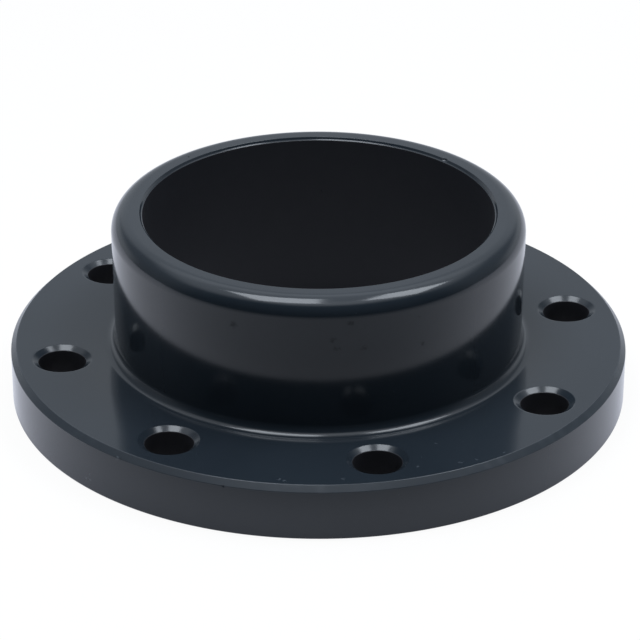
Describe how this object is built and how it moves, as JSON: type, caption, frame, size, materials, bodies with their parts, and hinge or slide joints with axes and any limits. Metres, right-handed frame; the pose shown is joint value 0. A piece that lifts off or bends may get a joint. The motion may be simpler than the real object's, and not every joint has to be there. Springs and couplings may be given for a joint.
{
  "type": "socket flange",
  "caption": "Round plastic pipe flange with a plain socket hub, a ring of chamfered bolt holes and a flat sealing face underneath.",
  "frame": {"origin": "centre of the sealing face, which is the underside of the plate", "axes": "+Z along the pipe axis, out of the socket's mouth; the bolt holes straddle the X and Y axes"},
  "size_m": [0.285, 0.285, 0.0892],
  "materials": {
    "pvc": "dark blue-grey rigid PVC with a satin moulded surface"
  },
  "bodies": {
    "root": {"socket_flange": "pvc"}
  },
  "joints": []
}
